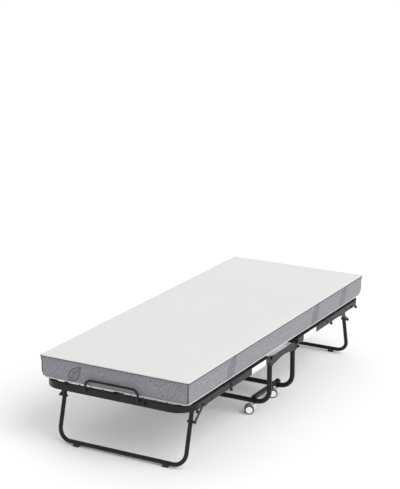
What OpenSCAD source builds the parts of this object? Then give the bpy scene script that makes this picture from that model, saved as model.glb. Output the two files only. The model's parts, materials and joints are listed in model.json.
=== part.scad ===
// Rollaway bed: two mesh half frames hinged on a wheeled base, with fold-away end legs,
// a foam mattress that bends in the middle and a hook that locks the folded bed.
// It stands open. X runs across, Y along its length, Z up, and the floor is at Z = 0.

/* [Overall] */
// Length over the end rails
bed_l = 1900; // [1860:10:1940]
// Width over the side rails
bed_w = 780; // [760:5:860]
// Height of the deck that the mattress lies on
deck_z = 320; // [315:1:330]
// Thickness of the mattress
mattress_t = 120; // [80:5:130]

/* [Half frames] */
// Height of the angle-iron rails
rail_h = 30; // [28:1:32]
// Width of the rails' top flange
flange_w = 25; // [18:1:28]
// Thickness of rails and plates
steel_t = 2.5; // [2:0.1:3]
// Outer radius of the end frames' corners
corner_r = 100; // [80:5:120]
// Size of the square crossbars
bar_s = 20; // [16:1:20]
// Wire diameter of the mesh
wire_d = 4; // [3:0.5:4]
// Lengthwise wires on each side of a centre bar
wires_x = 5; // [3:1:6]
// Crosswise wires in each mesh panel
wires_y = 4; // [3:1:5]

/* [Base] */
// Distance from the bed's middle to a fold pivot
pivot_y = 142; // [140:1:145]
// Diameter of the base loops' tube
loop_d = 24; // [22:1:25]
// Height of the loops' bottom rail
loop_z = 66; // [64:1:70]
// Bend radius of the loops
loop_bend = 65; // [50:5:80]
// Diameter of the caster wheels
wheel_d = 46; // [42:1:48]
// Distance from a caster's stem to its axle
caster_trail = 25; // [20:1:26]

/* [Legs] */
// Distance from the bed's middle to a leg pivot
leg_y = 812; // [805:1:818]
// Outward lean of the open legs, in degrees
leg_tilt = 15; // [10:1:17]
// Diameter of the leg tube
leg_d = 20; // [18:1:20]
// Bend radius of the legs
leg_bend = 60; // [40:5:70]
// Distance from the leg pivot to the brace bolt
brace_drop = 85; // [75:1:90]

/* [Hidden] */
$fn = 48;
tube_wall = 1.5;
// Room between bodies that move, round pins that turn, and between parts bolted together
gap = 0.3;
fit_gap = 0.05;
seat_gap = 0.1;
// How far a cutting shape runs past what it cuts
cut = 1;

// Rails: the end frame is nested inside the two side rails
rail_x = bed_w / 2;
inner_x = rail_x - steel_t;
nest_x = inner_x - steel_t;
end_y = bed_l / 2;
rail_z = deck_z - rail_h;
pivot_z = deck_z - rail_h / 2;
pivot_r = 5;
rail_end_r = rail_h / 2;
flange_y = pivot_y + rail_end_r + 8;
lap_y0 = 480;
lap_y1 = 560;
lap_bolt_ys = [500, 545];
rivet_r = 3;
bar_ys = [192, 526, 612];
edge_bar_y = 163;
edge_bar_s = 16;
bar_z = deck_z - steel_t - bar_s;
edge_bar_z = bar_z + 2;
centre_bar_w = 25;
wire_z = deck_z - steel_t - wire_d / 2 - seat_gap;
bumper_ys = [550, 866];
bumper_r = 7;
corner_c = [inner_x - corner_r, end_y - corner_r];

// Base
loop_x = rail_x - 20;
loop_y = 127;
loop_top = 292;
plate_t = 3;
plate_x = inner_x - plate_t - 2.5;
plate_z = 268;
plate_y = 150;
ear_r = 12;
knob_z = 274;
knob_r = 7;
stem_x = 290;
stem_r = 5;
stem_z = 42;
cross_w = 24;
cross_h = 12;
axle_r = 3;
wheel_r = wheel_d / 2;
wheel_y0 = 8.5;
wheel_y1 = 18.5;
tyre_t = 6;

// Legs and braces
leg_x = 334;
leg_z = 297;
leg_rise = 6;
foot_z = 18;
leg_len = (leg_z - foot_z) / cos(leg_tilt);
foot_y = leg_y + leg_len * sin(leg_tilt);
pad_x = 238;
bolt_r = 4;
brace_x = 354;
brace_w = 14;
brace_t = 3;
paddle_w = 26;
paddle_l = 42;
guide_x = 366;
guide_t = 3;
slot_w = 9.2;
guide_z = deck_z - 32;
guide_y0 = 602;
guide_y1 = 733;
brace_a = [leg_y + brace_drop * sin(leg_tilt), leg_z - brace_drop * cos(leg_tilt)];
brace_b = [guide_y1, guide_z];
spring_x = 308;
coil_r = 5.5;
coil_start = 38;
coil_len = 95;
lug_drop = 20;
lug_r = 3;
pad_size = [26, 24, 18];
lug_p = [leg_y + lug_drop * sin(leg_tilt), leg_z - lug_drop * cos(leg_tilt)];
spring_p = [bar_ys[2] + bar_s / 2, deck_z - 16];

// Hook, catch and mattress hoop on the end rails
hook_x = 165;
hook_z = pivot_z;
hook_y = end_y + 4.3;
hook_rod_d = 8;
hook_reach = 2 * pivot_y;
hook_ring_r = 11;
end_reach = 11;
hoop_d = 11;
hoop_w = 276;
hoop_z = deck_z + 50;
hoop_bend = 30;

// Mattress and straps
mattress_x = rail_x - 2;
mattress_y = end_y - 2;
mattress_split = 150;
mattress_corner = 30;
strap_t = 1.5;
strap_ys = [207, 355];
strap_end_x = 258;
strap_sag = 16;

STEEL = [0.13, 0.13, 0.14];
ZINC = [0.3, 0.3, 0.32];
WHITE = [0.93, 0.93, 0.93];
GREY = [0.55, 0.56, 0.6];
RUBBER = [0.08, 0.08, 0.08];

CASTERS = [["near_left", -1, -1, 20], ["near_right", 1, -1, 209],
           ["far_left", -1, 1, 150], ["far_right", 1, 1, 214]];

// ---- Shared shapes ----

// The far half as drawn, or its mirror image for the near half
module at_end(s) {
  if (s < 0) mirror([0, 1, 0]) children();
  else children();
}

module both_sides() {
  children();
  mirror([1, 0, 0]) children();
}

// A cylinder along X from x0 to x1 at a point of the YZ plane
module rod_x(p, x0, x1, r) {
  translate([x0, p[0], p[1]]) rotate([0, 90, 0]) cylinder(r = r, h = x1 - x0);
}

// A cylinder along Y from y0 to y1 at a point of the XZ plane
module rod_y(p, y0, y1, r) {
  translate([p[0], y1, p[1]]) rotate([90, 0, 0]) cylinder(r = r, h = y1 - y0);
}

module ring_2d(od, wall) {
  difference() {
    circle(d = od);
    if (wall > 0) circle(d = od - 2 * wall);
  }
}

// A U of tube: tops at Z = 0, bottom rail's centre at Z = -drop, rise above the tops
module u_tube(half_w, drop, bend, od, wall, rise) {
  both_sides() {
    translate([half_w, 0, bend - drop]) linear_extrude(drop - bend + rise) ring_2d(od, wall);
    translate([half_w - bend, 0, bend - drop]) rotate([-90, 0, 0])
      rotate_extrude(angle = 90) translate([bend, 0]) ring_2d(od, wall);
  }
  translate([bend - half_w, 0, -drop]) rotate([0, 90, 0])
    linear_extrude(2 * (half_w - bend)) ring_2d(od, wall);
}

// Angle iron: outer face at X = 0, flange on top at Y = 0
module angle_2d() {
  polygon([[0, -rail_h], [0, 0], [-flange_w, 0], [-flange_w, -steel_t],
           [-steel_t, -steel_t], [-steel_t, -rail_h]]);
}

// A square tube along X or Y, given by its box
module square_tube_x(x0, x1, y, z, w, h) {
  translate([x0, y - w / 2, z]) difference() {
    cube([x1 - x0, w, h]);
    translate([-cut, tube_wall, tube_wall])
      cube([x1 - x0 + 2 * cut, w - 2 * tube_wall, h - 2 * tube_wall]);
  }
}

module square_tube_y(y0, y1, x, z, w, h) {
  translate([x - w / 2, y0, z]) difference() {
    cube([w, y1 - y0, h]);
    translate([tube_wall, -cut, tube_wall])
      cube([w - 2 * tube_wall, y1 - y0 + 2 * cut, h - 2 * tube_wall]);
  }
}

// ---- Base ----

module base_loop(s) {
  color(STEEL) difference() {
    translate([0, s * loop_y, loop_top])
      u_tube(loop_x, loop_top - loop_z, loop_bend, loop_d, tube_wall, 0);
    for (x = [-stem_x, stem_x])
      translate([x, s * loop_y, loop_z - loop_d]) cylinder(r = stem_r + seat_gap, h = 2 * loop_d);
  }
}

module base_crossbars() {
  y1 = loop_y + 10;
  z0 = loop_z + loop_d / 2;
  color(STEEL) for (x = [-stem_x, stem_x]) difference() {
    square_tube_y(-y1, y1, x, z0, cross_w, cross_h);
    for (y = [-loop_y, loop_y])
      translate([x, y, z0 - cut]) cylinder(r = stem_r + seat_gap, h = cross_h + 2 * cut);
  }
}

// The outline of a side plate: straight on top, arched below, with ears round the pivots
// and tabs down the tubes
module side_plate_2d() {
  top = pivot_z + 5;
  tab = 6;
  rise = 12;
  arch_half = loop_y - loop_d / 2 - 25;
  arch_r = (arch_half * arch_half + rise * rise) / (2 * rise);
  difference() {
    union() {
      translate([-plate_y, plate_z]) square([2 * plate_y, top - plate_z]);
      for (s = [-1, 1]) {
        translate([s * pivot_y, pivot_z]) circle(r = ear_r);
        translate([s * loop_y - loop_d / 2, plate_z - tab]) square([loop_d, 40]);
      }
    }
    translate([0, plate_z + rise - arch_r]) circle(r = arch_r, $fn = 96);
    for (s = [-1, 1]) translate([s * pivot_y, pivot_z]) circle(r = pivot_r + seat_gap);
  }
}

module side_plate(side) {
  x0 = side > 0 ? plate_x : -plate_x - plate_t;
  color(STEEL) translate([x0, 0, 0]) rotate([90, 0, 90]) linear_extrude(plate_t) side_plate_2d();
}

// Each pivot's bolt, with its head outside the rail, its washer and its nut
module pivot_bolts() {
  head_r = 9;
  nut_r = 8;
  head_x = rail_x + 6;
  color(ZINC) both_sides() for (s = [-1, 1]) {
    p = [s * pivot_y, pivot_z];
    rod_x(p, plate_x - 6, head_x - 1, pivot_r);
    rod_x(p, rail_x + gap, head_x, head_r);
    rod_x(p, plate_x + plate_t + seat_gap, inner_x - seat_gap, nut_r);
    rod_x(p, plate_x - 7, plate_x - 2 * seat_gap, nut_r);
  }
}

module stop_knobs() {
  color(RUBBER) both_sides() for (s = [-1, 1])
    at_end(s) rod_y([plate_x + plate_t / 2, knob_z], plate_y + 2 * seat_gap, plate_y + 13, knob_r);
}

module caster_stems() {
  top = loop_z + loop_d / 2 + cross_h;
  color(ZINC) for (x = [-stem_x, stem_x], y = [-loop_y, loop_y]) translate([x, y, 0]) {
    translate([0, 0, stem_z]) cylinder(r = stem_r, h = top + 6 - stem_z);
    translate([0, 0, top + seat_gap]) cylinder(r = 9, h = 5);
  }
}

// ---- Casters: each stands at its stem with its axle trailing ----

module at_caster(k) {
  c = CASTERS[k];
  translate([c[1] * stem_x, c[2] * loop_y, 0]) rotate([0, 0, c[3]]) children();
}

module caster_body(k) {
  axle = [caster_trail, wheel_d / 2];
  half_t = 7.5;
  color(WHITE) at_caster(k) difference() {
    union() {
      translate([0, 0, 35]) cylinder(r = 10, h = 17);
      rod_y(axle, -half_t, half_t, wheel_d / 2 - 4);
      translate([-9, -half_t, 27]) cube([caster_trail + 6, 2 * half_t, 16]);
    }
    translate([0, 0, stem_z - 0.5]) cylinder(r = stem_r + fit_gap, h = 20);
    rod_y(axle, -half_t - cut, half_t + cut, axle_r + fit_gap);
  }
}

// The two wheels' hubs, dished on the outside, on their axle
module caster_hubs(k) {
  axle = [caster_trail, wheel_d / 2];
  color(WHITE) at_caster(k) {
    rod_y(axle, -9, 9, axle_r);
    for (s = [-1, 1]) at_end(s) difference() {
      rod_y(axle, wheel_y0, wheel_y1, wheel_r - tyre_t - fit_gap);
      rod_y(axle, wheel_y1 - 1.5, wheel_y1 + cut, wheel_r - tyre_t - 4);
    }
    for (s = [-1, 1]) at_end(s) rod_y(axle, wheel_y1 - 2.5, wheel_y1, 2 * axle_r);
  }
}

module caster_tyres(k) {
  half_t = (wheel_y1 - wheel_y0) / 2;
  edge = 2;
  color(RUBBER) at_caster(k) for (s = [-1, 1]) at_end(s)
    translate([caster_trail, (wheel_y0 + wheel_y1) / 2, wheel_d / 2]) rotate([90, 0, 0])
      rotate_extrude() translate([wheel_r - tyre_t, 0])
        polygon([[0, -half_t], [tyre_t - edge, -half_t], [tyre_t, edge - half_t],
                 [tyre_t, half_t - edge], [tyre_t - edge, half_t], [0, half_t]]);
}

// ---- Half frames, drawn for the far end ----

module lap_bolt_points() {
  for (y = lap_bolt_ys) rod_x([y, pivot_z], nest_x - cut, rail_x + cut, rivet_r + seat_gap);
}

module end_frame(s) {
  color(STEEL) at_end(s) difference() {
    union() {
      both_sides() {
        translate([inner_x, corner_c[1], deck_z]) rotate([90, 0, 0])
          linear_extrude(corner_c[1] - lap_y1 - 1) angle_2d();
        translate([corner_c[0], corner_c[1], deck_z])
          rotate_extrude(angle = 90, $fn = 96) translate([corner_r, 0]) angle_2d();
        translate([nest_x, lap_y0, rail_z])
          cube([steel_t, lap_y1 + 1 - lap_y0, rail_h - steel_t - gap]);
      }
      translate([-corner_c[0], end_y, deck_z]) rotate([90, 0, 90])
        linear_extrude(2 * corner_c[0]) angle_2d();
    }
    both_sides() {
      lap_bolt_points();
      rod_x([leg_y, leg_z], nest_x - cut, rail_x + cut, bolt_r + seat_gap);
      rod_x([guide_y1, pivot_z], nest_x - cut, rail_x + cut, rivet_r + seat_gap);
    }
    if (s > 0) rod_y([hook_x, hook_z], end_y - steel_t - cut, end_y + cut, pivot_r + seat_gap);
  }
}

module side_rail(s, side) {
  color(STEEL) at_end(s) mirror([side < 0 ? 1 : 0, 0, 0]) difference() {
    union() {
      translate([rail_x, lap_y1, deck_z]) rotate([90, 0, 0])
        linear_extrude(lap_y1 - flange_y) angle_2d();
      translate([inner_x, pivot_y, rail_z]) cube([steel_t, flange_y - pivot_y, rail_h]);
      rod_x([pivot_y, pivot_z], inner_x, rail_x, rail_end_r);
    }
    rod_x([pivot_y, pivot_z], inner_x - cut, rail_x + cut, pivot_r + fit_gap);
    lap_bolt_points();
  }
}

module crossbars(s) {
  color(STEEL) at_end(s) {
    for (y = [bar_ys[1], bar_ys[2]]) square_tube_x(-nest_x, nest_x, y, bar_z, bar_s, bar_s);
    square_tube_x(-inner_x, inner_x, bar_ys[0], bar_z, bar_s, bar_s);
    square_tube_x(-inner_x, inner_x, edge_bar_y, edge_bar_z, edge_bar_s, edge_bar_s);
  }
}

module centre_bars(s) {
  color(STEEL) at_end(s) {
    square_tube_y(bar_ys[0] + bar_s / 2, bar_ys[1] - bar_s / 2, 0, bar_z, centre_bar_w, bar_s);
    square_tube_y(bar_ys[2] + bar_s / 2, end_y - steel_t, 0, bar_z, centre_bar_w, bar_s);
  }
}

// Where the inside of an end frame's corner stands, for a given x or a given y
function corner_in_y(x) = x <= corner_c[0] ? end_y - steel_t
  : corner_c[1] + sqrt(pow(corner_r - steel_t, 2) - pow(x - corner_c[0], 2));
function corner_in_x(y) = y <= corner_c[1] ? nest_x
  : corner_c[0] + sqrt(pow(corner_r - steel_t, 2) - pow(y - corner_c[1], 2));

// One mesh panel: lengthwise wires over crosswise wires, split by the centre bar
module mesh_panel(s, y0, y1, side_x, outer) {
  step_x = (side_x - centre_bar_w / 2) / (wires_x + 1);
  step_y = (y1 - y0) / (wires_y + 1);
  r = wire_d / 2;
  color(STEEL) at_end(s) both_sides() {
    for (i = [1 : wires_x]) {
      x = centre_bar_w / 2 + i * step_x;
      rod_y([x, wire_z], y0, outer ? corner_in_y(x + r) - 2 * seat_gap : y1, r);
    }
    for (j = [1 : wires_y]) {
      y = y0 + j * step_y;
      x1 = outer ? corner_in_x(y + r) - 2 * seat_gap : side_x;
      rod_x([y, wire_z - wire_d - 2 * seat_gap], centre_bar_w / 2, x1, r);
    }
  }
}

module mesh_outer(s) {
  mesh_panel(s, bar_ys[2] + bar_s / 2, end_y - steel_t, nest_x, true);
}

// The inner panel also has short wires that run on under the edge bar
module mesh_inner(s) {
  step_x = (nest_x - centre_bar_w / 2) / (wires_x + 1);
  mesh_panel(s, bar_ys[0] + bar_s / 2, bar_ys[1] - bar_s / 2, nest_x, false);
  color(STEEL) at_end(s) both_sides() for (i = [1 : wires_x])
    rod_y([centre_bar_w / 2 + i * step_x, edge_bar_z - wire_d / 2], edge_bar_y - 10,
          bar_ys[0] - bar_s / 2, wire_d / 2);
}

// Leg pivot bolts, guide rivets and the bolts that join the side rails to the end frame
module half_bolts(s) {
  head_r = 7;
  rivet_head_r = 6;
  hook_head_r = 8;
  color(ZINC) at_end(s) {
    both_sides() {
      rod_x([leg_y, leg_z], leg_x - 14, inner_x + 3, bolt_r);
      rod_x([leg_y, leg_z], inner_x + seat_gap, inner_x + 3.5, head_r);
      rod_x([leg_y, leg_z], leg_x - 17, leg_x - leg_d / 2 - gap, head_r);
      rod_x([guide_y1, pivot_z], nest_x - 4, inner_x + 2, rivet_r);
      rod_x([guide_y1, pivot_z], inner_x + seat_gap, inner_x + 2.5, rivet_head_r);
      rod_x([guide_y1, pivot_z], nest_x - 4, nest_x - seat_gap, 5);
      for (y = lap_bolt_ys) {
        rod_x([y, pivot_z], nest_x - 5, rail_x + 2, rivet_r);
        rod_x([y, pivot_z], rail_x + seat_gap, rail_x + 2.5, rivet_head_r);
        rod_x([y, pivot_z], nest_x - 5, nest_x - seat_gap, rivet_head_r);
      }
    }
    if (s > 0) {
      rod_y([hook_x, hook_z], end_y - hook_head_r, end_y + end_reach, pivot_r);
      rod_y([hook_x, hook_z], hook_y + 4, end_y + end_reach, hook_head_r);
      rod_y([hook_x, hook_z], end_y - hook_head_r, end_y - steel_t - seat_gap, hook_head_r);
    }
  }
}

// Hinge brackets that hold the leg pivots inboard of the rails
module leg_brackets(s) {
  half_w = 15;
  x0 = leg_x + leg_d / 2 + 2;
  z0 = leg_z - 12;
  top = leg_z + 11.5;
  color(STEEL) at_end(s) both_sides() difference() {
    translate([0, leg_y + half_w, 0]) rotate([90, 0, 0]) linear_extrude(2 * half_w)
      polygon([[x0, z0], [x0 + plate_t, z0], [x0 + plate_t, top - steel_t],
               [nest_x, top - steel_t], [nest_x, top], [x0, top]]);
    rod_x([leg_y, leg_z], x0 - cut, x0 + plate_t + cut, bolt_r + seat_gap);
  }
}

// Slotted guides in which the upper ends of the braces slide
module brace_guides(s) {
  z0 = guide_z - 8;
  top = guide_z + 8.5;
  ends = 10;
  len = guide_y1 - guide_y0;
  color(STEEL) at_end(s) both_sides() difference() {
    translate([0, guide_y1 + ends, 0]) rotate([90, 0, 0]) linear_extrude(len + 2 * ends)
      polygon([[guide_x, z0], [guide_x + guide_t, z0], [guide_x + guide_t, top - steel_t],
               [nest_x, top - steel_t], [nest_x, top], [guide_x, top]]);
    for (y = [guide_y0, guide_y1])
      rod_x([y, guide_z], guide_x - cut, guide_x + guide_t + cut, slot_w / 2);
    translate([guide_x - cut, guide_y0, guide_z - slot_w / 2])
      cube([guide_t + 2 * cut, len, slot_w]);
  }
}

// Extension springs, as plain bars with their end wires
module leg_springs(s) {
  d = lug_p - spring_p;
  len = norm(d);
  turn = atan2(d[1], d[0]);
  color(ZINC) at_end(s) both_sides()
    translate([spring_x, spring_p[0], spring_p[1]]) rotate([turn - 90, 0, 0]) {
      translate([0, 0, 0.5]) cylinder(r = 1.2, h = len - lug_r - 1.2);
      translate([0, 0, coil_start]) cylinder(r = coil_r, h = coil_len);
    }
}

// Fabric straps that hold the mattress to the side rails
module straps(s) {
  x1 = rail_x + gap;
  z0 = rail_z - 0.7;
  z1 = z0 + strap_sag;
  t = strap_t;
  color(WHITE) at_end(s) both_sides() translate([0, strap_ys[1], 0]) rotate([90, 0, 0])
    linear_extrude(strap_ys[1] - strap_ys[0])
      polygon([[x1, deck_z], [x1 + t, deck_z], [x1 + t, z0 - t], [nest_x, z0 - t],
               [strap_end_x, z1], [strap_end_x, z1 + t], [nest_x, z0], [x1, z0]]);
}

module bumpers(s) {
  color(RUBBER) at_end(s) both_sides() for (y = bumper_ys) translate([inner_x - 0.5, y, 0]) {
    translate([0, 0, rail_z - 14]) cylinder(r = bumper_r, h = 9);
    translate([0, 0, rail_z - 8]) cylinder(r = 4, h = 8 - 2 * seat_gap);
  }
}

// ---- Legs and braces ----

module leg(s) {
  color(STEEL) at_end(s) translate([0, leg_y, leg_z]) rotate([leg_tilt, 0, 0]) {
    difference() {
      u_tube(leg_x, leg_len, leg_bend, leg_d, tube_wall, leg_rise);
      both_sides() {
        rod_x([0, 0], leg_x - leg_d, leg_x + leg_d, bolt_r + fit_gap);
        rod_x([0, -brace_drop], leg_x - leg_d, leg_x + leg_d, bolt_r + seat_gap);
      }
    }
    both_sides() rod_x([0, -lug_drop], spring_x - 5, leg_x - leg_d / 2 + 1.2, lug_r);
  }
}

module leg_pads(s) {
  color(RUBBER) at_end(s) for (x = [-pad_x, pad_x]) difference() {
    translate([x - pad_size[0] / 2, foot_y - pad_size[1] / 2, 0]) cube(pad_size);
    rod_x([foot_y, foot_z], x - pad_size[0], x + pad_size[0], leg_d / 2 + seat_gap);
  }
}

module brace_bolts(s) {
  nut_r = 6;
  color(ZINC) at_end(s) both_sides() {
    rod_x(brace_a, leg_x - 13, brace_x + 6, bolt_r);
    rod_x(brace_a, brace_x + brace_t + gap, brace_x + 6.5, nut_r + 1);
    rod_x(brace_a, leg_x + leg_d / 2 + 2 * seat_gap, brace_x - gap, nut_r);
    rod_x(brace_a, leg_x - 15, leg_x - leg_d / 2 - gap, nut_r);
  }
}

// A brace seen from the side: a flat bar with a bolt hole and a broad upper end
module brace_2d(len) {
  bevel = 10;
  bar_w = brace_w - 0.8;
  difference() {
    union() {
      circle(r = brace_w / 2);
      translate([len, 0]) circle(r = brace_w / 2);
      translate([0, -bar_w / 2]) square([len, bar_w]);
      translate([len, 0])
        polygon([[-paddle_l, 1], [5.5, 1], [5.5, paddle_w - bevel], [0, paddle_w],
                 [bevel - paddle_l / 2, paddle_w]]);
    }
    circle(r = bolt_r + fit_gap);
  }
}

// The braces, with the pins that run in the guides' slots
module braces(s) {
  d = brace_b - brace_a;
  turn = atan2(d[1], d[0]);
  color(STEEL) at_end(s) both_sides() {
    translate([brace_x, brace_a[0], brace_a[1]]) rotate([turn, 0, 0]) rotate([90, 0, 90])
      linear_extrude(brace_t) brace_2d(norm(d));
    rod_x(brace_b, brace_x + brace_t / 2, guide_x - 1, bolt_r);
  }
}

// ---- End rail fittings ----

// A rod hoop that keeps the mattress from sliding off the near end
module mattress_hoop() {
  foot = rail_z + 18;
  rise = hoop_z - hoop_d / 2 - foot;
  color(STEEL) translate([0, -end_y - hoop_d / 2, foot]) mirror([0, 0, 1])
    u_tube(hoop_w / 2, rise, hoop_bend, hoop_d, 0, 0);
}

// A headed stud that the hook's open end drops over
module hook_catch() {
  head_t = 2.4;
  color(ZINC) {
    rod_y([hook_x, hook_z], -end_y - end_reach, -end_y, bolt_r);
    rod_y([hook_x, hook_z], -end_y - end_reach, -end_y - end_reach + head_t, 7);
  }
}

// A swinging rod with an eye at its pivot and an open hook at its tip
module lock_hook() {
  r = hook_rod_d / 2;
  eye_r = 10;
  eye_half = 3.5;
  tip_x = hook_x - hook_reach;
  color(STEEL) difference() {
    union() {
      rod_y([hook_x, hook_z], hook_y - eye_half, hook_y + eye_half, eye_r);
      translate([0, hook_y, 0]) rod_x([0, hook_z], tip_x + hook_ring_r, hook_x - 8, r);
      translate([tip_x + hook_ring_r, hook_y, hook_z]) sphere(r = r);
      translate([tip_x, hook_y, hook_z]) rotate([-90, 0, 0])
        rotate_extrude(angle = 180) translate([hook_ring_r, 0]) circle(r = r);
      translate([tip_x - hook_ring_r, hook_y, hook_z]) sphere(r = r);
    }
    rod_y([hook_x, hook_z], hook_y - eye_half - cut, hook_y + eye_half + cut, pivot_r + fit_gap);
  }
}

// ---- Mattress ----

module mattress_end(s) {
  r = mattress_corner;
  y1 = mattress_y - r;
  color(GREY) at_end(s) translate([0, 0, deck_z + gap]) linear_extrude(mattress_t - gap) {
    translate([-mattress_x, mattress_split]) square([2 * mattress_x, y1 - mattress_split]);
    translate([r - mattress_x, y1]) square([2 * (mattress_x - r), r]);
    for (x = [-1, 1]) translate([x * (mattress_x - r), y1]) circle(r = r);
  }
}

module mattress_centre() {
  y1 = mattress_split - gap;
  color(GREY) translate([-mattress_x, -y1, deck_z + gap])
    cube([2 * mattress_x, 2 * y1, mattress_t - gap]);
}

base_loop(-1);  // base_loop_near
base_loop(1);  // base_loop_far
base_crossbars();
side_plate(-1);  // side_plate_left
side_plate(1);  // side_plate_right
pivot_bolts();
stop_knobs();
caster_stems();
caster_body(0);  // caster_body_near_left
caster_body(1);  // caster_body_near_right
caster_body(2);  // caster_body_far_left
caster_body(3);  // caster_body_far_right
caster_hubs(0);  // caster_hubs_near_left
caster_hubs(1);  // caster_hubs_near_right
caster_hubs(2);  // caster_hubs_far_left
caster_hubs(3);  // caster_hubs_far_right
caster_tyres(0);  // caster_tyres_near_left
caster_tyres(1);  // caster_tyres_near_right
caster_tyres(2);  // caster_tyres_far_left
caster_tyres(3);  // caster_tyres_far_right
end_frame(-1);  // near_end_frame
side_rail(-1, -1);  // near_side_rail_left
side_rail(-1, 1);  // near_side_rail_right
crossbars(-1);  // near_crossbars
centre_bars(-1);  // near_centre_bars
mesh_outer(-1);  // near_mesh_outer
mesh_inner(-1);  // near_mesh_inner
half_bolts(-1);  // near_bolts
leg_brackets(-1);  // near_leg_brackets
brace_guides(-1);  // near_brace_guides
leg_springs(-1);  // near_leg_springs
straps(-1);  // near_straps
bumpers(-1);  // near_bumpers
mattress_end(-1);  // near_mattress
end_frame(1);  // far_end_frame
side_rail(1, -1);  // far_side_rail_left
side_rail(1, 1);  // far_side_rail_right
crossbars(1);  // far_crossbars
centre_bars(1);  // far_centre_bars
mesh_outer(1);  // far_mesh_outer
mesh_inner(1);  // far_mesh_inner
half_bolts(1);  // far_bolts
leg_brackets(1);  // far_leg_brackets
brace_guides(1);  // far_brace_guides
leg_springs(1);  // far_leg_springs
straps(1);  // far_straps
bumpers(1);  // far_bumpers
mattress_end(1);  // far_mattress
leg(-1);  // near_leg
leg_pads(-1);  // near_leg_pads
brace_bolts(-1);  // near_brace_bolts
braces(-1);  // near_braces
leg(1);  // far_leg
leg_pads(1);  // far_leg_pads
brace_bolts(1);  // far_brace_bolts
braces(1);  // far_braces
mattress_hoop();
hook_catch();
lock_hook();
mattress_centre();
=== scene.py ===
"""Looks of the rollaway bed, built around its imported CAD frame.

Everything is in metres in the frame's own axes: X across the bed, Y along it, floor at Z = 0.
"""

import json
import math

import bmesh
import bpy
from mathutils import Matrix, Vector


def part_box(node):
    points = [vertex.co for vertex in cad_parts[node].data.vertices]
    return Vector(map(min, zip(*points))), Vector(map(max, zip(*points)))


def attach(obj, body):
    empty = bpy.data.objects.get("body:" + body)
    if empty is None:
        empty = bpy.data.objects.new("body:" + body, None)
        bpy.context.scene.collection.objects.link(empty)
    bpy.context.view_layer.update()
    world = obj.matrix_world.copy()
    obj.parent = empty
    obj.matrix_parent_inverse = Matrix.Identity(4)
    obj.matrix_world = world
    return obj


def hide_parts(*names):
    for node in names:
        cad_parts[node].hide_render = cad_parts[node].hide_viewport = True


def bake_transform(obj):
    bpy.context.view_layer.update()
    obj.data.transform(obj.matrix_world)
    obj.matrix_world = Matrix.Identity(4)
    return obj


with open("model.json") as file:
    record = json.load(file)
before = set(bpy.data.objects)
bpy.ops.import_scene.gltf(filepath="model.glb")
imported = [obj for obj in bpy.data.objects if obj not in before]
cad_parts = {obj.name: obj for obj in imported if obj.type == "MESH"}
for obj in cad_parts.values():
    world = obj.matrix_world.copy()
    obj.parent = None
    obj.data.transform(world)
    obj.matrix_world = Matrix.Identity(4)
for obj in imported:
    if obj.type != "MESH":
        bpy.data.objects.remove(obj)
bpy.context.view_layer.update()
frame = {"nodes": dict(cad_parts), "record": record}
HALVES = {"near": -1, "far": 1}

# Mattress, from its CAD solids
END_LOW, END_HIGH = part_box("far_mattress")
HALF_W = END_HIGH.x
# The cover stops a little short of the CAD ends, so that the hook swings past it
HOOK_ROOM = 0.003
HALF_L = END_HIGH.y - HOOK_ROOM
BASE_Z = END_LOW.z
TOP_Z = END_HIGH.z


# ---- Node helpers ----

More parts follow.
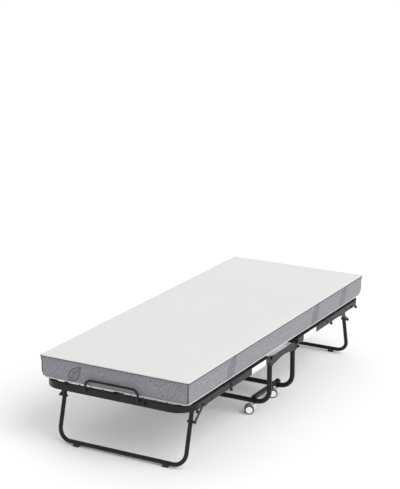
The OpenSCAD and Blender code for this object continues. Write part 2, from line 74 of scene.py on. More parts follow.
class Material:
    """A node material under construction: each method adds one node and returns an output."""

    def __init__(self, name, rest_attribute=None):
        self.material = bpy.data.materials.new(name)
        self.material.use_nodes = True
        self.tree = self.material.node_tree
        self.shader = self.tree.nodes["Principled BSDF"]
        if rest_attribute:
            node = self.add("ShaderNodeAttribute")
            node.attribute_name = rest_attribute
            self.place = node.outputs["Vector"]
        else:
            self.place = self.add("ShaderNodeTexCoord").outputs["Object"]

    def add(self, kind, **settings):
        node = self.tree.nodes.new(kind)
        for key, value in settings.items():
            setattr(node, key, value)
        return node

    def feed(self, socket, value):
        if isinstance(value, bpy.types.NodeSocket):
            self.tree.links.new(value, socket)
        elif value is not None:
            socket.default_value = value

    def math(self, operation, a, b=None, c=None):
        node = self.add("ShaderNodeMath", operation=operation)
        for socket, value in zip(node.inputs, (a, b, c)):
            self.feed(socket, value)
        return node.outputs[0]

    def ramp(self, value, low, high, out_low=0.0, out_high=1.0):
        """value smoothly from low..high to out_low..out_high, clamped."""
        node = self.add("ShaderNodeMapRange", interpolation_type="SMOOTHSTEP")
        for socket, number in zip(node.inputs, (value, low, high, out_low, out_high)):
            self.feed(socket, number)
        return node.outputs[0]

    def mix(self, share, a, b):
        node = self.add("ShaderNodeMix", data_type="RGBA")
        self.feed(node.inputs[0], share)
        for socket, value in ((node.inputs[6], a), (node.inputs[7], b)):
            self.feed(socket, (*value, 1.0) if isinstance(value, tuple) else value)
        return node.outputs[2]

    def scaled(self, scale):
        node = self.add("ShaderNodeMapping")
        self.feed(node.inputs["Vector"], self.place)
        node.inputs["Scale"].default_value = scale
        return node.outputs[0]

    def noise(self, scale, detail=2.0, rough=0.5, stretch=(1, 1, 1)):
        node = self.add("ShaderNodeTexNoise")
        place = self.scaled(stretch) if stretch != (1, 1, 1) else self.place
        self.feed(node.inputs["Vector"], place)
        node.inputs["Scale"].default_value = scale
        node.inputs["Detail"].default_value = detail
        node.inputs["Roughness"].default_value = rough
        return node.outputs["Fac"]

    def wave(self, axis, period):
        """A smooth wave of that period in metres along one axis, from 0 to 1."""
        node = self.add("ShaderNodeSeparateXYZ")
        self.feed(node.inputs[0], self.place)
        angle = self.math("MULTIPLY", node.outputs[axis], 2 * math.pi / period)
        return self.math("MULTIPLY_ADD", self.math("SINE", angle), 0.5, 0.5)

    def bump(self, height, distance, strength, under=None):
        """A normal raised by height (0 to 1) times distance in metres, on top of the normal under it."""
        node = self.add("ShaderNodeBump")
        self.feed(node.inputs["Height"], height)
        node.inputs["Distance"].default_value = distance
        node.inputs["Strength"].default_value = strength
        self.feed(node.inputs["Normal"], under)
        return node.outputs[0]

    def edge_mask(self, radius, share):
        """1 along edges, broken up by noise, and 0 on open faces; with it, the rounded normal."""
        bevel = self.add("ShaderNodeBevel", samples=4)
        bevel.inputs["Radius"].default_value = radius
        geometry = self.add("ShaderNodeNewGeometry")
        dot = self.add("ShaderNodeVectorMath", operation="DOT_PRODUCT")
        self.feed(dot.inputs[0], bevel.outputs[0])
        self.feed(dot.inputs[1], geometry.outputs["Normal"])
        edge = self.ramp(dot.outputs["Value"], 0.995, 0.86)
        spots = self.ramp(self.noise(140, 4, 0.65), 0.56 - share / 2, 0.7)
        return self.math("MULTIPLY", edge, spots), bevel.outputs[0]

    def finish(self, colour, roughness, normal=None, **shader_values):
        """Connects the shader; shader_values are sockets' names, with _ for each space, and their values."""
        self.feed(self.shader.inputs["Base Color"], colour)
        self.feed(self.shader.inputs["Roughness"], roughness)
        self.feed(self.shader.inputs["Normal"], normal)
        for name, value in shader_values.items():
            self.shader.inputs[name.replace("_", " ")].default_value = value
        return self.material


# ---- Hard materials ----

def powder_coat():
    m = Material("powder_coat")
    wear, rounded = m.edge_mask(0.0009, 0.15)
    tone = m.mix(m.noise(9, 3), (0.0045, 0.0045, 0.0048), (0.0085, 0.0085, 0.009))
    colour = m.mix(m.math("MULTIPLY", wear, 0.5), tone, (0.06, 0.06, 0.065))
    peel = m.bump(m.noise(900, 2, 0.6), 0.00006, 0.6, rounded)
    dust = m.ramp(m.noise(35, 5, 0.7), 0.35, 0.75, 0.28, 0.42)
    rough = m.math("MULTIPLY_ADD", wear, 0.15, dust)
    return m.finish(colour, rough, peel, Specular_IOR_Level=0.27)


def metal(name, dark, light, roughness, wear_tone):
    m = Material(name)
    wear, rounded = m.edge_mask(0.0006, 0.3)
    tone = m.mix(m.noise(160, 4, 0.7), dark, light)
    colour = m.mix(wear, tone, wear_tone)
    rough = m.ramp(m.noise(420, 3, 0.6), 0.3, 0.7, roughness - 0.07, roughness + 0.1)
    normal = m.bump(m.noise(1300, 2), 0.00003, 0.5, rounded)
    return m.finish(colour, rough, normal, Metallic=1.0)


def rubber(name, dark, light, roughness):
    m = Material(name)
    wear, rounded = m.edge_mask(0.0008, 0.35)
    tone = m.mix(m.noise(70, 4, 0.6), dark, light)
    colour = m.mix(m.math("MULTIPLY", wear, 0.5), tone, tuple(2.2 * c for c in light))
    rough = m.ramp(m.noise(260, 3), 0.3, 0.7, roughness - 0.06, roughness + 0.08)
    normal = m.bump(m.noise(1600, 3, 0.6), 0.00008, 0.6, rounded)
    return m.finish(colour, rough, normal, Specular_IOR_Level=0.35)


def nylon():
    m = Material("caster_nylon")
    wear, rounded = m.edge_mask(0.0008, 0.25)
    tone = m.mix(m.noise(40, 4, 0.6), (0.80, 0.80, 0.79), (0.88, 0.88, 0.875))
    colour = m.mix(m.math("MULTIPLY", wear, 0.45), tone, (0.55, 0.54, 0.52))
    rough = m.ramp(m.noise(300, 3), 0.3, 0.7, 0.34, 0.46)
    normal = m.bump(m.noise(1100, 2), 0.00004, 0.5, rounded)
    return m.finish(colour, rough, normal, Specular_IOR_Level=0.5)


# ---- Cloth materials ----

def knit_bump(m, course, wale, depth, under):
    """Rows of small stitches on the normal under them: a wale's and a course's width in metres."""
    loops = m.math("MULTIPLY", m.wave(0, wale), m.wave(1, course))
    fuzz = m.noise(1800, 3, 0.7)
    height = m.math("MULTIPLY_ADD", fuzz, 0.7, loops)
    return m.bump(height, depth, 0.8, under)


def top_knit():
    m = Material("mattress_top_knit", "cloth_place")
    slub = m.noise(500, 3, 0.7, (0.25, 1, 1))
    pile = m.mix(m.ramp(slub, 0.25, 0.75), (0.56, 0.56, 0.552), (0.65, 0.65, 0.642))
    colour = m.mix(m.ramp(m.noise(2.2, 2), 0.35, 0.7, 0.0, 0.35), pile, (0.63, 0.63, 0.624))
    quilted = m.bump(m.noise(26, 3, 0.55), 0.0022, 0.35)
    normal = knit_bump(m, 0.0016, 0.0012, 0.0002, quilted)
    return m.finish(colour, m.ramp(slub, 0.3, 0.7, 0.88, 0.97), normal,
                    Sheen_Weight=0.25, Sheen_Roughness=0.5, Specular_IOR_Level=0.2)


def underside():
    m = Material("mattress_underside", "cloth_place")
    fibre = m.noise(700, 4, 0.7, (1, 0.4, 1))
    colour = m.mix(m.ramp(fibre, 0.3, 0.7), (0.66, 0.66, 0.65), (0.78, 0.78, 0.775))
    grid = m.math("MAXIMUM", m.wave(0, 0.004), m.wave(1, 0.004))
    normal = m.bump(m.math("MULTIPLY_ADD", fibre, 0.6, grid), 0.00025, 0.7)
    return m.finish(colour, m.ramp(fibre, 0.3, 0.7, 0.86, 0.96), normal,
                    Sheen_Weight=0.15, Sheen_Roughness=0.5, Specular_IOR_Level=0.2)


def leaf_mask(m, along, up, leaf):
    """A line-drawn leaf, 1 on its outline, midrib and side veins. leaf is (along, up, length, turn)."""
    base_along, base_up, length, turn = leaf
    way_along, way_up = math.cos(turn) / length, math.sin(turn) / length
    ds = m.math("SUBTRACT", along, base_along)
    dz = m.math("SUBTRACT", up, base_up)
    # u runs from 0 at the base to 1 at the tip, and v runs across the leaf at the same scale
    u = m.math("ADD", m.math("MULTIPLY", ds, way_along), m.math("MULTIPLY", dz, way_up))
    v = m.math("SUBTRACT", m.math("MULTIPLY", dz, way_along), m.math("MULTIPLY", ds, way_up))
    side = m.math("ABSOLUTE", v)
    inside = m.math("MULTIPLY", m.math("GREATER_THAN", u, 0.0), m.math("LESS_THAN", u, 1.0))
    bow = m.math("SINE", m.math("MULTIPLY", m.math("POWER", m.math("MAXIMUM", u, 0.0), 0.8), math.pi))
    half_width = m.math("MULTIPLY", bow, 0.24)
    within = m.math("MULTIPLY", inside, m.math("LESS_THAN", side, half_width))
    rim = m.ramp(m.math("ABSOLUTE", m.math("SUBTRACT", side, half_width)), 0.030, 0.016)
    midrib = m.ramp(side, 0.026, 0.014)
    slant = m.math("FRACT", m.math("MULTIPLY", m.math("SUBTRACT", u, m.math("MULTIPLY", side, 0.9)), 8.0))
    veins = m.ramp(m.math("ABSOLUTE", m.math("SUBTRACT", slant, 0.5)), 0.2, 0.1)
    lines = m.math("MAXIMUM", midrib, veins)
    filled = m.math("MULTIPLY", within, m.math("MULTIPLY_ADD", lines, 0.72, 0.12))
    outline = m.math("MULTIPLY", inside, rim)
    stalk_on = m.math("MULTIPLY", m.math("GREATER_THAN", u, -0.22), m.math("LESS_THAN", u, 0.05))
    stalk = m.math("MULTIPLY", stalk_on, midrib)
    return m.math("MAXIMUM", m.math("MAXIMUM", filled, outline), stalk)


def border_knit(name, leaves):
    """Heathered grey knit with a few leaves. cloth_place holds (way round the border, height, 0)."""
    m = Material(name, "cloth_place")
    parts = m.add("ShaderNodeSeparateXYZ")
    m.feed(parts.inputs[0], m.place)
    along, up = parts.outputs[0], parts.outputs[1]
    flecks = m.noise(820, 4, 0.75, (1, 0.35, 1))
    patches = m.noise(230, 3, 0.6, (1, 0.3, 1))
    heather = m.math("MULTIPLY_ADD", patches, 0.35, m.math("MULTIPLY", flecks, 0.85))
    ground = m.mix(m.ramp(heather, 0.46, 0.74), (0.078, 0.081, 0.091), (0.36, 0.368, 0.40))
    motif = None
    for leaf in leaves:
        mask = leaf_mask(m, along, up, leaf)
        motif = mask if motif is None else m.math("MAXIMUM", motif, mask)
    colour = m.mix(m.math("MULTIPLY", motif, 0.78), ground, (0.045, 0.047, 0.054))
    puckers = m.bump(m.noise(30, 3, 0.5, (1, 0.35, 1)), 0.003, 0.3)
    normal = knit_bump(m, 0.0014, 0.0011, 0.00022, puckers)
    return m.finish(colour, m.ramp(flecks, 0.3, 0.7, 0.86, 0.97), normal,
                    Sheen_Weight=0.3, Sheen_Roughness=0.45, Specular_IOR_Level=0.2)


def thread(name, dark, light, pitch=0.003):
    """Twisted edge cord or seam thread; cloth_place holds its length first. Its colour is random fibre tone,
    darkened in the hollows between the plies as painted shade.
    """
    m = Material(name, "cloth_place")
    ply = m.wave(0, pitch)
    # Random fibre tone, and painted shade in the hollows between the plies
    fibre_tone_and_hollow_shade = m.math("MULTIPLY_ADD", m.noise(900, 3, 0.7), 0.6, m.math("MULTIPLY", ply, 0.4))
    tone = m.mix(fibre_tone_and_hollow_shade, dark, light)
    normal = m.bump(ply, 0.0004, 0.7)
    return m.finish(tone, m.ramp(ply, 0.0, 1.0, 0.8, 0.92), normal,
                    Sheen_Weight=0.2, Sheen_Roughness=0.5, Specular_IOR_Level=0.25)


def webbing():
    m = Material("strap_webbing")
    weft = m.wave(1, 0.0024)
    warp = m.wave(0, 0.0012)
    height = m.math("MULTIPLY_ADD", warp, 0.4, weft)
    fibre = m.noise(1100, 4, 0.7)
    # Random fibre tone, and painted shade in the weave's low points
    fibre_tone_and_hollow_shade = m.math("MULTIPLY_ADD", height, 0.35, m.math("MULTIPLY", fibre, 0.5))
    colour = m.mix(m.ramp(fibre_tone_and_hollow_shade, 0.15, 0.75), (0.62, 0.62, 0.61), (0.84, 0.84, 0.835))
    normal = m.bump(m.math("MULTIPLY_ADD", fibre, 0.3, height), 0.00035, 0.8)
    return m.finish(colour, m.ramp(fibre, 0.3, 0.7, 0.78, 0.92), normal,
                    Sheen_Weight=0.2, Sheen_Roughness=0.45, Specular_IOR_Level=0.25)


def hook_tape():
    m = Material("hook_and_loop_tape")
    pile = m.noise(1900, 4, 0.8)
    colour = m.mix(m.ramp(pile, 0.35, 0.7), (0.010, 0.010, 0.011), (0.045, 0.045, 0.048))
    return m.finish(colour, m.ramp(pile, 0.3, 0.7, 0.7, 0.95), m.bump(pile, 0.0008, 0.9),
                    Sheen_Weight=0.3, Sheen_Roughness=0.4, Specular_IOR_Level=0.3)


COAT = powder_coat()
SLOT_MATERIALS = {
    "frame": COAT,
    "zinc": metal("blackened_zinc", (0.030, 0.030, 0.032), (0.060, 0.060, 0.064), 0.38, (0.2, 0.2, 0.21)),
    "spring_steel": metal("spring_steel", (0.30, 0.30, 0.31), (0.44, 0.44, 0.45), 0.27, (0.6, 0.6, 0.6)),
    "rubber": rubber("black_rubber", (0.010, 0.010, 0.010), (0.019, 0.019, 0.019), 0.62),
    "tyre": rubber("tyre_rubber", (0.018, 0.018, 0.019), (0.034, 0.034, 0.035), 0.55),
    "caster_plastic": nylon(),
    "strap": webbing(),
}
TOP = top_knit()
UNDER = underside()
PIPING = thread("border_piping", (0.045, 0.047, 0.052), (0.11, 0.113, 0.122))
WHITE_TAPE = thread("white_edge_tape", (0.66, 0.66, 0.65), (0.84, 0.84, 0.83), 0.002)
# The corner seam's thread is very dark: a real seam, and painted shade down the mattress's corners.
CORNER_SEAM_AND_SHADE = thread("corner_seam_thread_and_painted_shade", (0.022, 0.023, 0.026), (0.06, 0.062, 0.068), 0.004)
TAPE = hook_tape()


# ---- Mesh helpers ----

def new_object(name, mesh, materials, smooth=True):
    obj = bpy.data.objects.new(name, mesh)
    bpy.context.scene.collection.objects.link(obj)
    for material in materials:
        mesh.materials.append(material)
    if smooth:
        for polygon in mesh.polygons:
            polygon.use_smooth = True
    return obj


def tube_rings(points, radius, sides):
    """Rings of points round a path, turned as little as they can be from one to the next."""
    rings = []
    across = (points[1] - points[0]).orthogonal()
    for i, p in enumerate(points):
        way = (points[min(i + 1, len(points) - 1)] - points[max(i - 1, 0)]).normalized()
        across = (across - way * across.dot(way)).normalized()
        other = way.cross(across)
        rings.append([p + radius * (math.cos(a) * across + math.sin(a) * other)
                      for a in (2 * math.pi * k / sides for k in range(sides))])
    return rings


def add_tube(bm, points, radius, sides, slot, place=None):
    """Adds a tube to bm. The place layer, if given, holds (length along the tube, way round, 0)."""
    made = []
    run = 0.0
    for i, ring in enumerate(tube_rings(points, radius, sides)):
        if i:
            run += (points[i] - points[i - 1]).length
        row = [bm.verts.new(p) for p in ring]
        if place is not None:
            for k, v in enumerate(row):
                v[place] = Vector((run, radius * k, 0))
        made.append(row)
    for a, b in zip(made, made[1:]):
        for k in range(sides):
            face = bm.faces.new((a[k], a[(k + 1) % sides], b[(k + 1) % sides], b[k]))
            face.material_index = slot
            face.smooth = True
    for row in (made[0][::-1], made[-1]):
        face = bm.faces.new(row)
        face.material_index = slot


def steps_between(low, high, step):
    """Even steps from low to high, each as near to step as they can be."""
    count = max(1, round((high - low) / step))
    return [low + (high - low) * i / count for i in range(count + 1)]


# ---- Mattress ----

# Corner radii seen from above, and roundings of the border's upper and lower edges
TOP_CORNER_R = 0.012
BOTTOM_CORNER_R = 0.026
TOP_ROUND = 0.006
BOTTOM_ROUND = 0.022
# The upper seam's height, and how far up the border the underside's cloth reaches at most
SEAM_Z = TOP_Z - TOP_ROUND
UNDER_SEAM = 0.012
# The border draws in by SIDE_INSET over the lowest TAPER_HEIGHT of it
SIDE_INSET = 0.004
TAPER_HEIGHT = 0.045
# Grid: distances of its lines from an edge, its cells further in, and the border's rows
EDGE_STEPS = [0, 0.004, 0.010, 0.019, 0.032, 0.05]
CELL = 0.0115
BORDER_ROW = 0.012
# How far the cover may swell, and how far at its ends
SWELL = 0.0045
END_SWELL = 0.0015
SIM_FRAMES = 20
# The band along the edges that the simulation holds, and the zones that count as a corner's
SEAM_BAND = 0.02
CORNER_ZONE = 0.06
ROUND_ZONE = 0.04
# Edge cord, edge tape and corner seam; the corner seam is wide and very dark, so that it is a real seam and
# also painted shade down the mattress's rounded corners
PIPING_R = 0.0020
PIPING_OUT = 0.0010
TAPE_R = 0.0019
TAPE_OUT = 0.0006
# The corner seam's tube is wide so that it also paints the corners' shade.
CORNER_SEAM_AND_SHADE_R = 0.0026
CORNER_SEAM_AND_SHADE_OUT = 0.0004
NEAR = 0.001
TINY = 1e-6
# Slots of the cover's materials
TOP_SLOT, BORDER_SLOT, UNDER_SLOT, PIPING_SLOT, TAPE_SLOT, CORNER_SEAM_AND_SHADE_SLOT = range(6)


def plan_lines(half):
    """Grid lines from -half to half, closer together near the edges."""
    inner = half - EDGE_STEPS[-1]
    edge = [half - e for e in EDGE_STEPS[:-1]]
    middle = steps_between(-inner, inner, CELL)
    return [-e for e in edge] + middle + edge[::-1]


def rounded(x, y, half_w, half_l, radius):
    """Moves a point of a rectangle to the same rectangle with round corners."""
    a = (abs(x) - (half_w - radius)) / radius
    b = (abs(y) - (half_l - radius)) / radius
    if a > 0 and b > 0:
        a, b = a * math.sqrt(1 - b * b / 2), b * math.sqrt(1 - a * a / 2)
        x = math.copysign(half_w - radius + a * radius, x)
        y = math.copysign(half_l - radius + b * radius, y)
    return x, y


def quarter_turn(steps):
    return [math.pi / 2 * i / steps for i in range(steps + 1)]


def border_levels():
    """(height, inset, corner radius) of each row of border points, from the bottom edge up."""
    height = TOP_Z - BASE_Z
    rows = []
    for a in quarter_turn(5):
        rows.append((BOTTOM_ROUND * (1 - math.cos(a)), BOTTOM_ROUND * (1 - math.sin(a))))
    for h in steps_between(BOTTOM_ROUND, height - TOP_ROUND, BORDER_ROW)[1:-1]:
        rows.append((h, 0.0))
    for a in quarter_turn(3):
        rows.append((height - TOP_ROUND * (1 - math.sin(a)), TOP_ROUND * (1 - math.cos(a))))
    levels = []
    for h, inset in rows:
        rise = min(1.0, h / TAPER_HEIGHT)
        share = rise * rise * (3 - 2 * rise)
        radius = BOTTOM_CORNER_R + (TOP_CORNER_R - BOTTOM_CORNER_R) * share
        levels.append((BASE_Z + h, inset + SIDE_INSET * (1 - share), radius))
    return levels


def mattress_shell():
    """The whole mattress as one closed mesh, before it swells."""
    xs, ys, levels = plan_lines(HALF_W), plan_lines(HALF_L), border_levels()
    if not any(abs(y) < TINY for y in ys):
        ys = sorted(ys + [0.0])
    bm = bmesh.new()

    def make(x, y, z, inset, radius):
        half_w = HALF_W - inset
        half_l = HALF_L - inset
        return bm.verts.new((*rounded(x * half_w / HALF_W, y * half_l / HALF_L, half_w, half_l, radius), z))

    last_x, last_y = len(xs) - 1, len(ys) - 1
    around = ([(i, 0) for i in range(last_x)] + [(last_x, j) for j in range(last_y)]
              + [(i, last_y) for i in range(last_x, 0, -1)] + [(0, j) for j in range(last_y, 0, -1)])
    loops = [{(i, j): make(xs[i], ys[j], *level) for i, j in around} for level in levels]
    for slot, edge, level in ((TOP_SLOT, loops[-1], levels[-1]), (UNDER_SLOT, loops[0], levels[0])):
        sheet = {(i, j): edge.get((i, j)) or make(xs[i], ys[j], *level)
                 for i in range(last_x + 1) for j in range(last_y + 1)}
        for i in range(last_x):
            for j in range(last_y):
                corners = [sheet[i, j], sheet[i + 1, j], sheet[i + 1, j + 1], sheet[i, j + 1]]
                face = bm.faces.new(corners if slot == TOP_SLOT else corners[::-1])
                face.material_index = slot
    for low, high, (z, _, _) in zip(loops, loops[1:], levels[1:]):
        slot = TOP_SLOT if z > SEAM_Z + TINY else BORDER_SLOT if z > BASE_Z + UNDER_SEAM else UNDER_SLOT
        for k, here in enumerate(around):
            there = around[(k + 1) % len(around)]
            face = bm.faces.new((low[here], low[there], high[there], high[here]))
            face.material_index = slot
    bmesh.ops.recalc_face_normals(bm, faces=bm.faces)
    mesh = bpy.data.meshes.new("mattress_shell")
    bm.to_mesh(mesh)
    bm.free()
    return mesh


def swell(obj):
    """Inflates the cover a little between its seams by a cloth simulation, with its travel capped."""
    mesh = obj.data
    rest = [v.co.copy() for v in mesh.vertices]
    seam = obj.vertex_groups.new(name="seam")
    held = [i for i, p in enumerate(rest) if on_seam(p)]
    seam.add(held, 1.0, "REPLACE")
    cloth = obj.modifiers.new("cloth", "CLOTH")
    cloth.settings.vertex_group_mass = "seam"
    cloth.settings.quality = 5
    cloth.settings.mass = 0.4
    cloth.settings.tension_stiffness = 30
    cloth.settings.compression_stiffness = 30
    cloth.settings.bending_stiffness = 6
    cloth.settings.use_pressure = True
    cloth.settings.uniform_pressure_force = 4
    cloth.settings.effector_weights.gravity = 0
    scene = bpy.context.scene
    for number in range(1, SIM_FRAMES + 1):
        scene.frame_set(number)
    swollen = obj.evaluated_get(bpy.context.evaluated_depsgraph_get())
    moved = [v.co.copy() for v in swollen.to_mesh().vertices]
    swollen.to_mesh_clear()
    obj.modifiers.remove(cloth)
    scene.frame_set(1)
    for vertex, start, end in zip(mesh.vertices, rest, moved):
        step = end - start
        if step.length > SWELL:
            step *= SWELL / step.length
        vertex.co = start + step
        vertex.co.z = max(vertex.co.z, BASE_Z)
        vertex.co.y = min(max(vertex.co.y, -HALF_L - END_SWELL), HALF_L + END_SWELL)
        if abs(start.y) < TINY:
            vertex.co.y = 0.0
    mesh.update()


def on_seam(p):
    level = min(abs(p.z - BASE_Z), abs(p.z - TOP_Z), abs(p.z - SEAM_Z)) < NEAR / 2
    return level and (abs(p.x) > HALF_W - SEAM_BAND or abs(p.y) > HALF_L - SEAM_BAND)


def border_run(p):
    """Way round the border from the middle of the end, positive towards +X."""
    to_side = HALF_L - abs(p.y)
    if abs(p.x) > HALF_W - CORNER_ZONE and to_side > HALF_W - abs(p.x):
        return math.copysign(HALF_W + to_side, p.x)
    return p.x


def edge_line(mesh, sign, slot_a, slot_b, outset):
    """Points round one half, from y = 0 to y = 0, where two of the cover's materials meet."""
    slots_of = {}
    for polygon in mesh.polygons:
        for key in polygon.edge_keys:
            slots_of.setdefault(key, set()).add(polygon.material_index)
    used = {v for key, slots in slots_of.items() if slots == {slot_a, slot_b} for v in key}
    found = [mesh.vertices[v].co.copy() for v in used if mesh.vertices[v].co.y * sign > -TINY]
    found.sort(key=lambda p: (border_run(p), -abs(p.y)))
    points = []
    for p in found:
        q = p + outward(p) * outset
        if not points or (q - points[-1]).length > 1.5 * NEAR:
            points.append(q)
    return points


def outward(p):
    """The level direction away from the mattress at a point of its border."""
    side = Vector((max(0.0, abs(p.x) - HALF_W + ROUND_ZONE), max(0.0, abs(p.y) - HALF_L + ROUND_ZONE), 0))
    side.x = math.copysign(side.x, p.x)
    side.y = math.copysign(side.y, p.y)
    return side.normalized() if side.length else side


def corner_line(mesh, sign, side):
    """Points down the border at one corner, from the top seam to the lower one."""
    levels = {}
    for v in mesh.vertices:
        p = v.co
        if p.x * side > HALF_W - CORNER_ZONE and p.y * sign > HALF_L - CORNER_ZONE:
            if BASE_Z + UNDER_SEAM < p.z < SEAM_Z + NEAR:
                levels.setdefault(round(p.z, 3), []).append(p.copy())
    line = [max(group, key=lambda p: p.x * side + p.y * sign) for _, group in sorted(levels.items())]
    kept = [line[0]]
    for p in line[1:]:
        if p.z - kept[-1].z > 4 * NEAR:
            kept.append(p)
    return [p + outward(p) * CORNER_SEAM_AND_SHADE_OUT for p in kept]


# Each half's leaves: the base's way round the border and height, the length, and the turn in radians
LEAVES = {
    "near": [(-0.235, 0.338, 0.10, 0.87), (0.757, 0.338, 0.12, 0.88), (-0.78, 0.338, 0.11, 2.3)],
    "far": [(1.01, 0.338, 0.12, 2.27), (0.67, 0.338, 0.12, 2.27), (0.05, 0.338, 0.10, 0.9),
            (-0.90, 0.338, 0.11, 0.9)],
}


def mattress_half(half, sign, shell):
    """One half of the swollen cover, with its piping, edge tape and corner seams, which are dark and wide
    enough to paint the corners' shade as well.
    """
    bm = bmesh.new()
    bm.from_mesh(shell)
    gone = [f for f in bm.faces if f.calc_center_median().y * sign < 0]
    bmesh.ops.delete(bm, geom=gone, context="FACES")
    place = bm.verts.layers.float_vector.new("cloth_place")
    rim = [e for e in bm.edges if e.is_boundary]
    cap = bmesh.ops.contextual_create(bm, geom=rim)["faces"]
    for face in cap:
        face.material_index = UNDER_SLOT
    # The border's points carry their way round; the top's and underside's carry their plan place
    split = [e for e in bm.edges if len({f.material_index for f in e.link_faces}) > 1]
    bmesh.ops.split_edges(bm, edges=split)
    for face in bm.faces:
        for v in face.verts:
            if face.material_index == BORDER_SLOT:
                v[place] = Vector((border_run(v.co), v.co.z, 0))
            else:
                v[place] = v.co.copy()
        face.smooth = True
    upper = edge_line(shell, sign, TOP_SLOT, BORDER_SLOT, PIPING_OUT)
    add_tube(bm, upper, PIPING_R, 8, PIPING_SLOT, place)
    lower = edge_line(shell, sign, BORDER_SLOT, UNDER_SLOT, TAPE_OUT)
    add_tube(bm, lower, TAPE_R, 8, TAPE_SLOT, place)
    for side in (-1, 1):
        # Corner seams, dark and wide: real seams that also paint the shade in the corners.
        add_tube(bm, corner_line(shell, sign, side), CORNER_SEAM_AND_SHADE_R, 8, CORNER_SEAM_AND_SHADE_SLOT, place)
    name = half + "_mattress_cover"
    mesh = bpy.data.meshes.new(name)
    bm.to_mesh(mesh)
    bm.free()
    border = border_knit(name + "_border_knit", LEAVES[half])
    return new_object(name, mesh, [TOP, border, UNDER, PIPING, WHITE_TAPE, CORNER_SEAM_AND_SHADE], smooth=False)


def build_mattress():
    shell = new_object("mattress_shell", mattress_shell(), [])
    swell(shell)
    for half, sign in HALVES.items():
        cover = mattress_half(half, sign, shell.data)
        nodes = [half + "_mattress"] + (["mattress_centre"] if sign > 0 else [])
        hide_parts(*nodes)
        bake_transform(cover)
    bpy.data.objects.remove(shell)


# ---- Straps ----

# Where a strap's free end lies, inboard of its rail
STRAP_END_X = 0.2585
STRAP_END_Z = 0.3075
STRAP_T = 0.0014
# How far the strap's middle layer lies above the bottom of its CAD piece
STRAP_LIFT = 0.0008
# Spacing of the mesh's lines along the strap and across it, and the strips of tape at its free end
STRAP_STEP = 0.008
STRAP_ROW = 0.0075
TAPE_STRIPS = 3
# The strap's sag between rail and free end, and the ripple that grows from RIPPLE_START inboard
STRAP_SAG = 0.0035
RIPPLE = 0.0016
RIPPLE_RATE = 75
RIPPLE_START = 0.03


def rows_mesh(name, rows, materials, thickness, slots):
    """A sheet through rows of points, given its thickness; slots holds each band's material."""
    bm = bmesh.new()
    made = [[bm.verts.new(p) for p in row] for row in rows]
    for a, b in zip(made, made[1:]):
        for k in range(len(a) - 1):
            face = bm.faces.new((a[k], a[k + 1], b[k + 1], b[k]))
            face.material_index = slots[k]
    bmesh.ops.recalc_face_normals(bm, faces=bm.faces)
    mesh = bpy.data.meshes.new(name)
    bm.to_mesh(mesh)
    bm.free()
    obj = new_object(name, mesh, materials)
    solid = obj.modifiers.new("thickness", "SOLIDIFY")
    solid.thickness = thickness
    solid.offset = 0
    solid.use_even_offset = True
    return obj


def strap_profile(face_x, under_z, rail):
    """(x, z) points down a rail's outer face, under it, and inboard to the strap's free end."""
    bottom, top = rail[0].z, rail[1].z
    bevel, corner = 0.0012, 0.004
    profile = [(face_x, top - 0.0005)]
    profile += [(face_x, z) for z in steps_between(top - 0.004, bottom + 0.001, STRAP_STEP)]
    profile += [(face_x - bevel, under_z + bevel), (face_x - corner, under_z)]
    for x in steps_between(STRAP_END_X, face_x - 0.007, STRAP_STEP)[::-1]:
        share = (face_x - corner - x) / (face_x - corner - STRAP_END_X)
        sag = STRAP_SAG * math.sin(math.pi * share)
        profile.append((x, under_z + (STRAP_END_Z - under_z) * share - sag))
    return profile


def build_straps():
    for half, sign in HALVES.items():
        low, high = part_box(half + "_straps")
        y_in, y_out = sorted((abs(low.y), abs(high.y)))
        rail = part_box(half + "_side_rail_right")
        face_x = (rail[1].x + high.x) / 2
        profile = strap_profile(face_x, low.z + STRAP_LIFT, rail)
        strips = len(profile) - 1
        slots = [1 if k >= strips - TAPE_STRIPS else 0 for k in range(strips)]
        for side, mirror in (("left", -1), ("right", 1)):
            rows = []
            for y in steps_between(y_in + 0.001, y_out - 0.001, STRAP_ROW):
                row = []
                for x, z in profile:
                    free = max(0.0, (face_x - RIPPLE_START - x) / (face_x - STRAP_END_X)) ** 1.5
                    ripple = RIPPLE * free * math.sin((y - y_in) * RIPPLE_RATE + 1.3 * mirror + sign)
                    row.append(Vector((mirror * x, sign * y, z + ripple)))
                rows.append(row)
            materials = [SLOT_MATERIALS["strap"], TAPE]
            strap = rows_mesh(f"{half}_strap_{side}", rows, materials, STRAP_T, slots)
            if mirror > 0:
                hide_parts(half + "_straps")
            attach(strap, half + "_half")


# ---- Leg springs ----

# The height at which the wire starts at a crossbar, and the leg's lug that it pulls on
SPRING_START_Z = 0.304
LEG_TILT = math.radians(15)
LUG_DROP = 0.020
# The coil: its ends' distances from the wire's start, its radius here and in the CAD, and its turns
COIL_START = 0.038
COIL_END = 0.133
COIL_R = 0.0044
CAD_COIL_R = 0.0055
COIL_TURNS = 26
TURN_STEPS = 10
WIRE_R = 0.001
EYE_R = 0.0043


def spring_path(start, end):
    """A wire from start to end with a coil in the middle part of it."""
    way = (end - start).normalized()
    across = Vector((1, 0, 0))
    other = way.cross(across)
    points = [start, start + way * (COIL_START / 2), start + way * (COIL_START - 0.004)]
    steps = COIL_TURNS * TURN_STEPS
    for k in range(steps + 1):
        a = 2 * math.pi * k / TURN_STEPS
        at = start + way * (COIL_START + (COIL_END - COIL_START) * k / steps)
        points.append(at + COIL_R * (math.cos(a) * across + math.sin(a) * other))
    tail = (end - start).length - COIL_END
    points += [start + way * (COIL_END + tail * t) for t in (0.08, 0.2, 0.35, 0.5, 0.65, 0.8, 0.92)]
    return points


def hook_eye(centre, way):
    """Most of a ring round a pin along X, open towards the wire."""
    other = way.cross(Vector((1, 0, 0)))
    return [centre + EYE_R * (-math.cos(a) * way + math.sin(a) * other)
            for a in (2 * math.pi * k / 16 for k in range(15))]


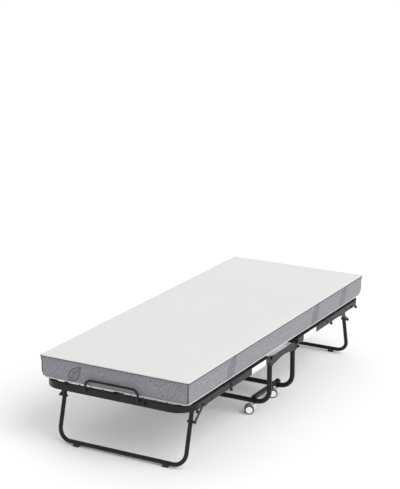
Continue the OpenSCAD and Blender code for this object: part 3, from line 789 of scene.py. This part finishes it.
def build_springs():
    pivots = {joint["child"]: joint["pos_m"] for joint in frame["record"]["behaviour"]["joints"]}
    for half, sign in HALVES.items():
        low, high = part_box(half + "_leg_springs")
        spring_x = high.x - CAD_COIL_R
        start = Vector((0, sign * min(abs(low.y), abs(high.y)), SPRING_START_Z))
        lug = Vector(pivots[half + "_leg_set"])
        lug += LUG_DROP * Vector((0, sign * math.sin(LEG_TILT), -math.cos(LEG_TILT)))
        way = (lug - start).normalized()
        for side, mirror in (("left", -1), ("right", 1)):
            at = Vector((mirror * spring_x, 0, 0))
            eye = hook_eye(at + lug, way)
            bm = bmesh.new()
            add_tube(bm, spring_path(at + start, eye[0]) + eye, WIRE_R, 6, 0)
            mesh = bpy.data.meshes.new("spring")
            bm.to_mesh(mesh)
            bm.free()
            spring = new_object(f"{half}_leg_spring_{side}", mesh, [SLOT_MATERIALS["spring_steel"]])
            if mirror > 0:
                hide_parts(half + "_leg_springs")
            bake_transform(spring)


# ---- CAD nodes' materials ----

def dress_cad_nodes():
    """Gives each carried-over CAD node its slot's material; the mattress's nodes are replaced."""
    slots = {part["node"]: part["material_slot"] for part in frame["record"]["subparts"]}
    for name, obj in frame["nodes"].items():
        if slots[name] in SLOT_MATERIALS:
            obj.data.materials.clear()
            obj.data.materials.append(SLOT_MATERIALS[slots[name]])


# ---- Studio and camera ----

FLOOR_FLAT_R = 42.0
FLOOR_BEND_R = 14.0
SKY_STRENGTH = 0.78
# Each sun's name, the direction that it shines from, its angle in degrees and its strength
SUNS = (("key", (3.4, -0.7, 2.9), 50, 2.0), ("back", (-1.5, 3.0, 3.0), 70, 0.3))


def build_floor():
    """A round floor, flat and then curving up all round."""
    sides, rings, rim_steps = 64, 10, 12
    profile = [(FLOOR_FLAT_R * (k / rings) ** 2, 0.0) for k in range(1, rings + 1)]
    profile += [(FLOOR_FLAT_R + FLOOR_BEND_R * math.sin(a), FLOOR_BEND_R - FLOOR_BEND_R * math.cos(a))
                for a in quarter_turn(rim_steps)[1:]]
    bm = bmesh.new()
    centre = bm.verts.new((0, 0, 0))
    spokes = [[bm.verts.new((r * math.cos(a), r * math.sin(a), z)) for r, z in profile]
              for a in (2 * math.pi * k / sides for k in range(sides))]
    for here, there in zip(spokes, spokes[1:] + spokes[:1]):
        bm.faces.new((centre, here[0], there[0]))
        for k in range(len(profile) - 1):
            bm.faces.new((here[k], here[k + 1], there[k + 1], there[k]))
    mesh = bpy.data.meshes.new("floor")
    bm.to_mesh(mesh)
    bm.free()
    m = Material("pale_floor")
    tone = m.mix(m.noise(1.3, 3), (0.86, 0.86, 0.86), (0.885, 0.885, 0.885))
    floor = new_object("floor", mesh, [m.finish(tone, 0.85, Specular_IOR_Level=0.1)])


def build_light():
    world = bpy.data.worlds.new("studio")
    bpy.context.scene.world = world
    world.use_nodes = True
    background = world.node_tree.nodes["Background"]
    background.inputs["Color"].default_value = (1, 1, 1, 1)
    background.inputs["Strength"].default_value = SKY_STRENGTH
    for name, place, angle, strength in SUNS:
        light = bpy.data.lights.new(name, "SUN")
        light.angle = math.radians(angle)
        light.energy = strength
        lamp = bpy.data.objects.new(name, light)
        bpy.context.scene.collection.objects.link(lamp)
        lamp.location = place
        lamp.rotation_mode = "QUATERNION"
        lamp.rotation_quaternion = Vector(place).to_track_quat("Z", "Y")


def build_camera():
    """A camera at the photograph's viewing angle."""
    azimuth = math.radians(29.11)
    elevation = math.radians(15.23)
    distance = 7.364
    target = Vector((-0.0826, 0, 0.7707))
    back = Vector((math.sin(azimuth) * math.cos(elevation),
                   -math.cos(azimuth) * math.cos(elevation), math.sin(elevation)))
    lens = bpy.data.cameras.new("camera")
    lens.sensor_width = 36
    lens.lens = 110.3
    lens.clip_end = 100
    camera = bpy.data.objects.new("camera", lens)
    bpy.context.scene.collection.objects.link(camera)
    camera.location = target + back * distance
    camera.rotation_mode = "QUATERNION"
    camera.rotation_quaternion = (-back).to_track_quat("-Z", "Y")
    bpy.context.scene.camera = camera
    bpy.context.scene.view_settings.view_transform = "Standard"


dress_cad_nodes()
build_mattress()
build_straps()
build_springs()
build_floor()
build_light()
build_camera()
